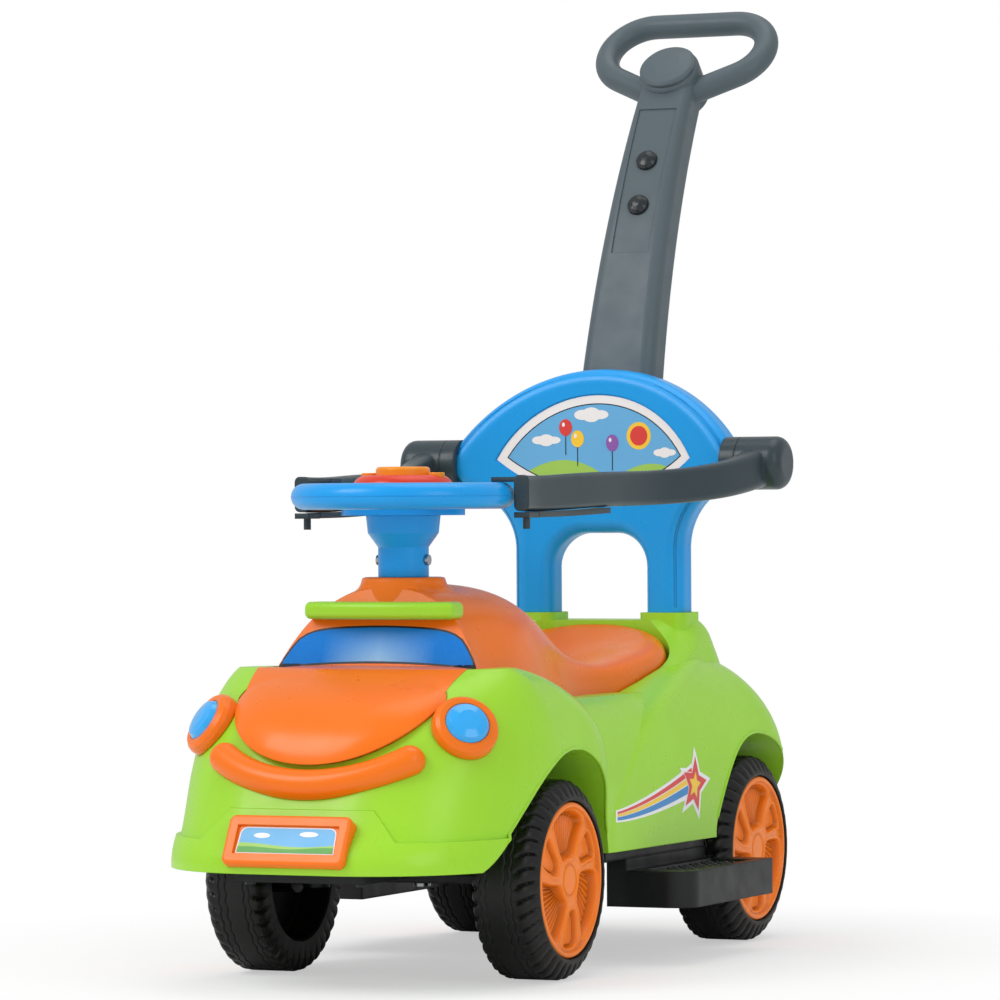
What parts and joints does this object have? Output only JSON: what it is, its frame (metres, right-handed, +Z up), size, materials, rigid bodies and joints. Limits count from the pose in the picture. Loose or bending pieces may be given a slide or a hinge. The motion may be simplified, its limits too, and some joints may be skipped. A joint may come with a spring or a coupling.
{
  "type": "ride-on push car with handle",
  "caption": "Ride-on toy car with a parent's push handle, lift-up guard arms, backrest, footrests, steering front wheels and a horn on the steering wheel.",
  "frame": {"origin": "middle of the toy's box, on the ground", "axes": "the toy drives towards -Y, +X is its left side, +Z is up"},
  "size_m": [0.372, 0.8749, 0.8305],
  "materials": {
    "green_gloss": "glossy moulded plastic",
    "orange_gloss": "glossy moulded plastic",
    "red_gloss": "glossy moulded plastic",
    "amber_gloss": "glossy moulded plastic",
    "blue_gloss": "glossy moulded plastic",
    "lens_blue": "glossy moulded plastic",
    "grey_plastic": "satin moulded plastic",
    "black_plastic": "satin moulded plastic",
    "tyre_black": "satin hollow-moulded plastic",
    "steel": "zinc-plated"
  },
  "bodies": {
    "car": {"arm_bracket_left": "grey_plastic", "arm_bracket_right": "grey_plastic", "arm_pin_left": "steel", "arm_pin_right": "steel", "axle_push_nuts": "steel", "backrest_front": "blue_gloss", "backrest_rear": "blue_gloss", "backrest_screws": "steel", "base_tray": "black_plastic", "body_shell": "green_gloss", "bumper_bar": "orange_gloss", "chassis_screws": "steel", "column_bush": "black_plastic", "footrest_left": "black_plastic", "footrest_right": "black_plastic", "handle_cap": "grey_plastic", "handle_studs": "grey_plastic", "headlight_bezel_left": "orange_gloss", "headlight_bezel_right": "orange_gloss", "headlight_lens_left": "lens_blue", "headlight_lens_right": "lens_blue", "plate_frame": "orange_gloss", "push_handle": "grey_plastic", "rear_axle": "steel", "top_moulding": "orange_gloss", "tray_bush": "black_plastic", "visor": "green_gloss"},
    "steering": {"steering_wheel": "blue_gloss", "column_sleeve": "blue_gloss", "column_screws": "steel", "steering_rod": "steel", "horn_housing": "red_gloss"},
    "horn_button": {"horn_button": "amber_gloss"},
    "tie_bar": {"tie_bar": "black_plastic"},
    "tune_button_left": {"tune_button_left": "amber_gloss"},
    "knuckle_left": {"knuckle_left": "black_plastic", "stub_push_nut_left": "steel", "kingpin_washer_left": "steel"},
    "wheel_front_left": {"tyre_front_left": "tyre_black", "wheel_disc_front_left": "orange_gloss"},
    "wheel_rear_left": {"tyre_rear_left": "tyre_black", "wheel_disc_rear_left": "orange_gloss"},
    "arm_left": {"guard_arm_left": "grey_plastic", "guard_cover_left": "grey_plastic"},
    "latch_left": {"arm_latch_left": "grey_plastic"},
    "tune_button_right": {"tune_button_right": "amber_gloss"},
    "knuckle_right": {"knuckle_right": "black_plastic", "stub_push_nut_right": "steel", "kingpin_washer_right": "steel"},
    "wheel_front_right": {"tyre_front_right": "tyre_black", "wheel_disc_front_right": "orange_gloss"},
    "wheel_rear_right": {"tyre_rear_right": "tyre_black", "wheel_disc_rear_right": "orange_gloss"},
    "arm_right": {"guard_arm_right": "grey_plastic", "guard_cover_right": "grey_plastic"},
    "latch_right": {"arm_latch_right": "grey_plastic"}
  },
  "joints": [
    {"name": "steering_turn", "type": "hinge", "parent": "car", "child": "steering", "pos_m": [0, -0.209, 0.39], "axis": [0, 0, 1], "range_deg": [-20, 20]},
    {"name": "horn_press", "type": "slide", "parent": "steering", "child": "horn_button", "axis": [0, 0, -1], "range_m": [0, 0.003], "stiffness_N_per_m": 400, "springref_m": -0.004},
    {"name": "tune_press_left", "type": "slide", "parent": "steering", "child": "tune_button_left", "axis": [0, 0, -1], "range_m": [0, 0.003], "stiffness_N_per_m": 200, "springref_m": -0.004},
    {"name": "kingpin_left", "type": "hinge", "parent": "car", "child": "knuckle_left", "pos_m": [0.08, -0.209, 0.1], "axis": [0, 0, 1], "range_deg": [-20, 20]},
    {"name": "wheel_spin_front_left", "type": "hinge", "parent": "knuckle_left", "child": "wheel_front_left", "pos_m": [0.121, -0.209, 0.08], "axis": [1, 0, 0], "continuous": true},
    {"name": "wheel_spin_rear_left", "type": "hinge", "parent": "car", "child": "wheel_rear_left", "pos_m": [0.121, 0.201, 0.08], "axis": [1, 0, 0], "continuous": true},
    {"name": "arm_lift_left", "type": "hinge", "parent": "car", "child": "arm_left", "pos_m": [0.16, 0.184, 0.414], "axis": [-1, 0, 0], "range_deg": [0, 100]},
    {"name": "latch_slide_left", "type": "slide", "parent": "arm_left", "child": "latch_left", "axis": [-1, 0, 0], "range_m": [0, 0.012]},
    {"name": "tune_press_right", "type": "slide", "parent": "steering", "child": "tune_button_right", "axis": [0, 0, -1], "range_m": [0, 0.003], "stiffness_N_per_m": 200, "springref_m": -0.004},
    {"name": "kingpin_right", "type": "hinge", "parent": "car", "child": "knuckle_right", "pos_m": [-0.08, -0.209, 0.1], "axis": [0, 0, 1], "range_deg": [-20, 20]},
    {"name": "wheel_spin_front_right", "type": "hinge", "parent": "knuckle_right", "child": "wheel_front_right", "pos_m": [-0.121, -0.209, 0.08], "axis": [1, 0, 0], "continuous": true},
    {"name": "wheel_spin_rear_right", "type": "hinge", "parent": "car", "child": "wheel_rear_right", "pos_m": [-0.121, 0.201, 0.08], "axis": [1, 0, 0], "continuous": true},
    {"name": "arm_lift_right", "type": "hinge", "parent": "car", "child": "arm_right", "pos_m": [-0.16, 0.184, 0.414], "axis": [-1, 0, 0], "range_deg": [0, 100]},
    {"name": "latch_slide_right", "type": "slide", "parent": "arm_right", "child": "latch_right", "axis": [1, 0, 0], "range_m": [0, 0.012]},
    {"name": "tie_slide", "type": "slide", "parent": "car", "child": "tie_bar", "axis": [1, 0, 0], "range_m": [-0.0115, 0.0115]}
  ],
  "couplings": [
    {"joint": "kingpin_left", "follows": "steering_turn", "ratio": 1},
    {"joint": "kingpin_right", "follows": "steering_turn", "ratio": 1},
    {"joint": "tie_slide", "follows": "steering_turn", "m_per_rad": -0.032}
  ]
}
